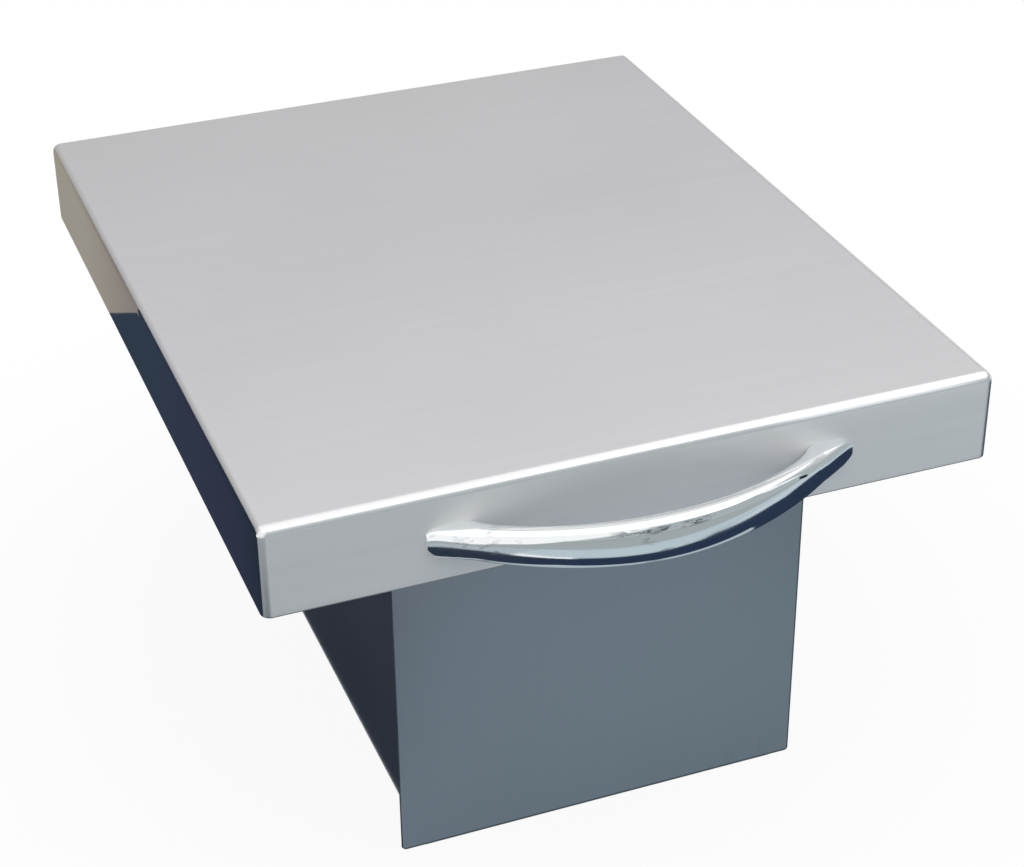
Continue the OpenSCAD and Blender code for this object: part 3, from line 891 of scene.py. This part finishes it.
def leaf(name, first, upright):
    """A hinge leaf rolled from one strip: plate, tongues and rolled knuckles."""
    knuckle, bore, sheet = 3.0 * MM, 1.62 * MM, 1.2 * MM
    plate = -3.3 * MM
    reach, notch, root = 17 * MM, 3.6 * MM, 2.2 * MM
    play = 0.15 * MM
    outer = [(reach, plate), (notch, plate), (root, plate + 0.02 * MM)]
    inner = [(reach, plate + sheet), (notch, plate + sheet), (root, plate + sheet)]
    outer += arc(0.0, 0.0, knuckle, -72, -372, 30)
    inner += arc(0.0, 0.0, bore, -72, -372, 30)
    pitch = 2 * HINGE_HALF / KNUCKLES
    levels = []
    for i in range(KNUCKLES):
        start = -HINGE_HALF + i * pitch
        levels += [start + play, start + pitch - play]
    levels = [-HINGE_HALF] + levels[1:-1] + [HINGE_HALF]

    def present(i, k):
        return i < 1 or (k % 2 == 0 and (k // 2) % 2 == first)

    def to_space(point, level):
        y, z = point
        if upright:
            y, z = z, y
        return (level, PIN_Y + y, PIN_Z + z)

    return strip_solid(name, outer, inner, levels, present, to_space, 0.15 * MM)


place_piece(
    leaf("hinge_frame_leaf_rolled", 0, False), hinge_steel, "chute",
    ["hinge_frame_leaf"],
)
place_piece(
    leaf("hinge_lid_leaf_rolled", 1, True), hinge_steel, "lid", ["hinge_lid_leaf"]
)


def pin_piece():
    """The hinge pin with a rounded head at each end."""
    radius, head, head_h = 1.5 * MM, 2.7 * MM, 1.2 * MM
    lying = Matrix.Translation((0, PIN_Y, PIN_Z)) @ Matrix.Rotation(math.pi / 2, 4, "Y")
    end = HINGE_HALF
    cap = [(0.0, end + head_h), (head * 0.55, end + head_h * 0.97), (head * 0.85, end + head_h * 0.8)]
    cap += [(head, end + head_h * 0.45), (head, end + 0.12 * MM), (head - 0.12 * MM, end)]
    cap += [(radius, end)]
    profile = cap + [(r, -z) for r, z in reversed(cap)]
    return join_parts("hinge_pin_turned", [lathe(profile, lying, 40)])


place_piece(pin_piece(), pin_steel, "chute", ["hinge_pin"])


def leaf_rivets(name, upright):
    """Flush rivets of a leaf: low crowned heads, and tails where they end proud."""
    parts = []
    for i in range(RIVETS):
        x = (i - (RIVETS - 1) / 2) * RIVET_PITCH
        if upright:
            outward = Matrix.Rotation(-math.pi / 2, 4, "X")
            z = PIN_Z + RIVET_LINE
            parts.append(rivet_end(RIVET_HEAD, RIVET_FLUSH, (x, PIN_Y - LEAF_FACE, z), outward))
            inside = (x, LID_Y - LID_SHEET, z)
            parts.append(rivet_end(RIVET_TAIL, RIVET_PROUD, inside, outward.inverted()))
        else:
            y = PIN_Y + RIVET_LINE
            parts.append(rivet_end(RIVET_HEAD, RIVET_FLUSH, (x, y, PIN_Z - LEAF_FACE)))
            flat = [(0.0, 0.02 * MM), (1.4 * MM, 0.02 * MM), (1.6 * MM, 0.0)]
            flat += [(1.6 * MM, -RIVET_SINK), (0.0, -RIVET_SINK)]
            under = Matrix.Translation((x, y, flange_low.z)) @ Matrix.Rotation(math.pi, 4, "X")
            parts.append(lathe(flat, under))
    return join_parts(name, parts)


place_piece(
    leaf_rivets("hinge_frame_rivet_heads", False), rivet_steel, "chute",
    ["hinge_frame_rivets"],
)
place_piece(
    leaf_rivets("hinge_lid_rivet_heads", True), rivet_steel, "lid",
    ["hinge_lid_rivets"],
)

# CAD nodes that stay, with better materials

for node in ("handle_screw_left", "handle_screw_right", "handle_washer_left", "handle_washer_right"):
    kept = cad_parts[node].data.materials
    kept.clear()
    kept.append(screw_steel)

# Stage

FLOOR_Z = -160.0 * MM
FLOOR_HALF = 14.0
FLOOR_PAINT = (0.86, 0.86, 0.86)
WHITE = (1.0, 1.0, 1.0)
# The share of plain white in the floor near the object, and where it climbs to all of it
SHADOW_LIFT, SHADOW_NEAR, SHADOW_FAR = 0.93, 0.12, 0.42
# Cards that overlap lie at two heights, so that neither cuts through the other
CARD_Z = FLOOR_Z + 0.2 * MM
UPPER_Z = CARD_Z + 0.1 * MM


def stage_sheet(name, corners, material):
    """A flat sheet of the studio."""
    mesh = bpy.data.meshes.new(name)
    mesh.from_pydata(corners, [], [tuple(range(len(corners)))])
    mesh.materials.append(material)
    obj = bpy.data.objects.new(name, mesh)
    bpy.context.scene.collection.objects.link(obj)
    return obj


def floor_material():
    """White floor: pale paint with the object's soft shadow, lifted to white for the camera."""
    material, n = new_material("studio_floor")
    x, y, _ = n.axes(n.place())
    away = n.math("SQRT", n.math("ADD", n.times(x, x), n.times(y, y)))
    lift = n.between(away, SHADOW_NEAR, SHADOW_FAR, SHADOW_LIFT, 1.0)
    # In the duct the floor stays paint, so nothing glows there
    inside_x = n.math("LESS_THAN", n.math("ABSOLUTE", x), CHUTE_X)
    inside_y = n.math("LESS_THAN", n.math("ABSOLUTE", y), CHUTE_Y)
    inside = n.times(inside_x, inside_y)
    lift = n.times(lift, n.math("SUBTRACT", 1.0, inside))
    path = n.add("ShaderNodeLightPath")
    seen = n.math("MAXIMUM", path.outputs["Is Camera Ray"], path.outputs["Is Glossy Ray"])
    seen = n.math("MAXIMUM", seen, path.outputs["Is Transmission Ray"])
    paint = n.add("ShaderNodeBsdfDiffuse")
    n.put(paint.inputs["Color"], FLOOR_PAINT)
    glow = n.add("ShaderNodeEmission")
    n.put(glow.inputs["Color"], WHITE)
    n.finish(n.choose(n.times(seen, lift), paint.outputs[0], glow.outputs[0]))
    material.cycles.emission_sampling = "NONE"
    return material


def card_material(name, stops):
    """A card that glows with one colour, or with a ramp of (y, colour) stops."""
    material, n = new_material(name)
    glow = n.add("ShaderNodeEmission")
    if isinstance(stops, tuple):
        n.put(glow.inputs["Color"], stops)
    else:
        first, last = stops[0][0], stops[-1][0]
        ramp = n.add("ShaderNodeValToRGB")
        n.put(ramp.inputs[0], n.between(n.axes(n.place())[1], first, last, smooth=False))
        elements = ramp.color_ramp.elements
        for number, (place, colour) in enumerate(stops):
            stop = elements[number] if number < 2 else elements.new(1.0)
            stop.position = (place - first) / (last - first)
            stop.color = (*colour, 1.0)
        n.put(glow.inputs["Color"], ramp.outputs[0])
    n.finish(glow.outputs[0])
    material.cycles.emission_sampling = "NONE"
    return material


def card(name, corners, material_name, stops):
    """A studio card that only reflections see."""
    obj = stage_sheet(name, corners, card_material(material_name, stops))
    obj.visible_camera = False
    obj.visible_diffuse = False
    obj.visible_transmission = False
    obj.visible_shadow = False
    obj.visible_volume_scatter = False


def on_floor(outline, z=CARD_Z):
    return [(x, y, z) for x, y in outline]


floor_outline = rectangle(-FLOOR_HALF, FLOOR_HALF, -FLOOR_HALF, FLOOR_HALF)
stage_sheet("studio_floor", on_floor(floor_outline, FLOOR_Z), floor_material())

# The lines where the floor cards meet. The chute and the front skirt mirror the near and far ones.
FRONT_Y, NEAR_Y, STRIP_Y = -CHUTE_Y, -0.425, -0.51
LEFT_X, CORNER_X, STRIP_X, NEAR_X, RIGHT_X = -0.60, -0.33, -0.20, -0.105, 1.8
CORNER_Y, REAR_Y, BESIDE_X = -0.405, 0.60, 0.0815
INK = (0.022, 0.036, 0.070)
DUSK = [(-0.15, (0.030, 0.038, 0.060)), (0.38, (0.034, 0.040, 0.058))]

card(
    "card_front_near", on_floor(rectangle(NEAR_X, RIGHT_X, NEAR_Y, FRONT_Y)), "card_slate",
    [(-0.42, (0.425, 0.50, 0.535)), (-0.385, (0.57, 0.65, 0.70)), (-0.15, (0.36, 0.42, 0.465))],
)
card(
    "card_front_strip", on_floor(rectangle(STRIP_X, RIGHT_X, STRIP_Y, NEAR_Y)), "card_pale",
    (0.49, 0.59, 0.63),
)
card(
    "card_left_strip", on_floor(rectangle(LEFT_X, STRIP_X, STRIP_Y, CORNER_Y)), "card_pewter",
    (0.425, 0.485, 0.51),
)
card(
    "card_left_corner", on_floor(rectangle(LEFT_X, CORNER_X, CORNER_Y, FRONT_Y)), "card_shade",
    (0.24, 0.265, 0.28),
)
# The grey far card is cut off on the left, so the handle's left half mirrors white floor there
far_edge = [(LEFT_X, STRIP_Y), (LEFT_X, -0.80), (-0.46, -0.94), (-0.66, -1.56)]
far_edge += [(-3.4, -9.0), (9.0, -9.0), (9.0, STRIP_Y)]
card(
    "card_front_far", on_floor(far_edge), "card_grey",
    [(-1.2, (0.37, 0.405, 0.41)), (-0.51, (0.375, 0.415, 0.43))],
)
left_floor = rectangle(LEFT_X, -BESIDE_X, FRONT_Y, REAR_Y)
card("card_left_floor", on_floor(left_floor), "card_dusk_left", DUSK)
right_floor = rectangle(BESIDE_X, -LEFT_X, FRONT_Y, REAR_Y)
card("card_right_floor", on_floor(right_floor), "card_dusk_right", DUSK)
left_front = [(CORNER_X, FRONT_Y), (CORNER_X, CORNER_Y), (NEAR_X, CORNER_Y)]
left_front += [(NEAR_X, -0.37), (-0.020, -0.37), (-0.135, FRONT_Y)]
card("card_left_front", on_floor(left_front, UPPER_Z), "card_ink_left", (0.026, 0.038, 0.062))

# In front of the object hangs a card whose slope is the way the front faces mirror the camera. They
# see it edge on, and only the handle's underside mirrors it.
HANG_SLOPE = 0.6446
HANG_Y, HANG_Z, HANG_END_Y = -0.2235, -0.0292, -0.385
HANG_END_Z = HANG_Z + (HANG_END_Y - HANG_Y) * HANG_SLOPE
hanging = [(-0.092, HANG_Y, HANG_Z), (0.150, HANG_Y, HANG_Z)]
hanging += [(0.165, HANG_END_Y, HANG_END_Z), (-0.080, HANG_END_Y, HANG_END_Z)]
card("card_under_handle", hanging, "card_ink_slant", INK)
# The right end of the underside mirrors dark floor beside the strip that the chute mirrors
right_front = [(0.142, FRONT_Y), (0.205, -0.300), (1.200, -0.300), (1.200, FRONT_Y)]
card("card_right_front", on_floor(right_front, UPPER_Z), "card_ink_right", INK)
# A small pale card over the handle's right foot, which the foot's top and the skirt round it mirror
FOOT_CARD_Y = -0.232
by_foot = [(x, FOOT_CARD_Y, z) for x, z in rectangle(0.085, 0.170, 0.050, 0.100)]
card("card_by_foot", by_foot, "card_bright", (0.95, 0.98, 1.0))

# Two cards stand beside the lid's left skirt, which mirrors the slanted line where they meet. The
# line's points are (y, z).
SIDE_CARD_X = -LID_X - 12.5 * MM
MEETING = [(0.1700, -0.048), (0.0440, 0.015), (0.0300, 0.028), (0.0240, 0.041)]


def side_card(name, end_y, material_name, stops):
    """One of the two cards, from the slanted line to end_y."""
    low, high = MEETING[0][1], MEETING[-1][1]
    outline = [(end_y, low), (end_y, high)] + MEETING[::-1]
    card(name, [(SIDE_CARD_X, y, z) for y, z in outline], material_name, stops)


side_card(
    "card_side_navy", -0.180, "card_navy",
    [(-0.15, (0.020, 0.031, 0.048)), (-0.08, (0.030, 0.037, 0.066)), (0.05, (0.031, 0.046, 0.072))],
)
side_card(
    "card_side_beige", 0.34, "card_beige",
    [(0.07, (0.245, 0.22, 0.20)), (0.19, (0.34, 0.315, 0.265))],
)

# World and lamp

PLAIN_COLOUR, PLAIN_LEVEL = (0.98, 0.99, 1.0), 0.27
# What gloss sees of the room. Height, depth and across are those of the direction it looks in.
LOW_WALL, HIGH_WALL, WALL_RISE = (0.475, 0.475, 0.475), (0.85, 0.845, 0.86), (0.39, 0.68)
FRONT_WALL, FRONT_TURN = (0.99, 1.0, 1.0), (-0.12, 0.06)
RIGHT_WALL, RIGHT_TURN, RIGHT_TOP = (0.60, 0.615, 0.625), (0.55, 0.85), (0.30, 0.60)
ROOM, ROOM_BLUR = (0.41, 0.455, 0.47), (-0.13, 0.03)
ROOM_EDGE, ROOM_EDGE_MOST = 0.38, 0.66
CEILING, CEILING_RISE = (0.08, 0.08, 0.085), (0.76, 0.88)


def studio_world():
    """White for the camera, a plain dim level for diffuse light, and a soft room for gloss."""
    world = bpy.data.worlds.new("studio")
    bpy.context.scene.world = world
    world.use_nodes = True
    n = Nodes(world.node_tree)

    def background(colour, level=1.0):
        made = n.add("ShaderNodeBackground")
        n.put(made.inputs["Color"], colour)
        n.put(made.inputs["Strength"], level)
        return made.outputs[0]

    across, depth, height = n.axes(n.add("ShaderNodeTexCoord").outputs["Generated"])
    studio = n.mix(n.between(height, *WALL_RISE), LOW_WALL, HIGH_WALL)
    in_front = n.between(depth, *FRONT_TURN, 1.0, 0.0)
    studio = n.mix(in_front, studio, FRONT_WALL)
    right = n.times(n.between(across, *RIGHT_TURN), n.between(height, *RIGHT_TOP, 1.0, 0.0))
    studio = n.mix(right, studio, RIGHT_WALL)
    # In front the room is grey up to an edge that climbs from left to right
    bearing = n.math("DIVIDE", across, n.math("MAXIMUM", n.times(depth, -1.0), 0.05))
    edge = n.math("MINIMUM", n.math("ADD", bearing, ROOM_EDGE), ROOM_EDGE_MOST)
    below = n.between(n.math("SUBTRACT", height, edge), *ROOM_BLUR, 1.0, 0.0)
    studio = n.mix(n.times(in_front, below), studio, ROOM)
    # Overhead the softbox is seen in front of a dim ceiling
    studio = n.mix(n.between(height, *CEILING_RISE), studio, CEILING)
    path = n.add("ShaderNodeLightPath")
    plain = background(PLAIN_COLOUR, PLAIN_LEVEL)
    lit = n.choose(path.outputs["Is Glossy Ray"], plain, background(studio))
    seen = n.math("MAXIMUM", path.outputs["Is Camera Ray"], path.outputs["Is Transmission Ray"])
    n.finish(n.choose(seen, lit, background(WHITE)), "ShaderNodeOutputWorld")


studio_world()

SOFTBOX_PLACE, SOFTBOX_SIZE = (0.30, -0.40, 1.35), (2.6, 2.0)
SOFTBOX_LEVEL = 1.02


def softbox():
    """One large area lamp that looks straight down. Its power is its level times pi times its area."""
    lamp = bpy.data.lights.new("softbox_top", "AREA")
    lamp.shape = "RECTANGLE"
    lamp.size, lamp.size_y = SOFTBOX_SIZE
    lamp.energy = SOFTBOX_LEVEL * math.pi * SOFTBOX_SIZE[0] * SOFTBOX_SIZE[1]
    obj = bpy.data.objects.new("softbox_top", lamp)
    obj.location = SOFTBOX_PLACE
    bpy.context.scene.collection.objects.link(obj)


softbox()

# Camera

AZIMUTH, ELEVATION, ROLL = math.radians(20.691), math.radians(31.092), math.radians(-0.714)
CAMERA_PLACE = (-0.30825, -0.8582, 0.49428)
FOCAL_PX, FRAME_W = 2292.3, 1024.0
SENSOR = 36.0


def photo_camera():
    """The camera that was fitted to the photo's edges."""
    forward = Vector((math.sin(AZIMUTH), math.cos(AZIMUTH), 0.0)) * math.cos(ELEVATION)
    forward.z = -math.sin(ELEVATION)
    right = Vector((math.cos(AZIMUTH), -math.sin(AZIMUTH), 0.0))
    up = right.cross(forward)
    across = math.cos(ROLL) * right + math.sin(ROLL) * up
    upward = -math.sin(ROLL) * right + math.cos(ROLL) * up
    data = bpy.data.cameras.new("photo_camera")
    data.sensor_fit = "HORIZONTAL"
    data.sensor_width = SENSOR
    data.lens = FOCAL_PX / FRAME_W * SENSOR
    data.clip_start, data.clip_end = 0.05, 60.0
    camera = bpy.data.objects.new("photo_camera", data)
    turn = Matrix((across, upward, -forward)).transposed().to_4x4()
    camera.matrix_world = Matrix.Translation(CAMERA_PLACE) @ turn
    bpy.context.scene.collection.objects.link(camera)
    bpy.context.scene.camera = camera


photo_camera()

bpy.context.scene.view_settings.view_transform = "Standard"
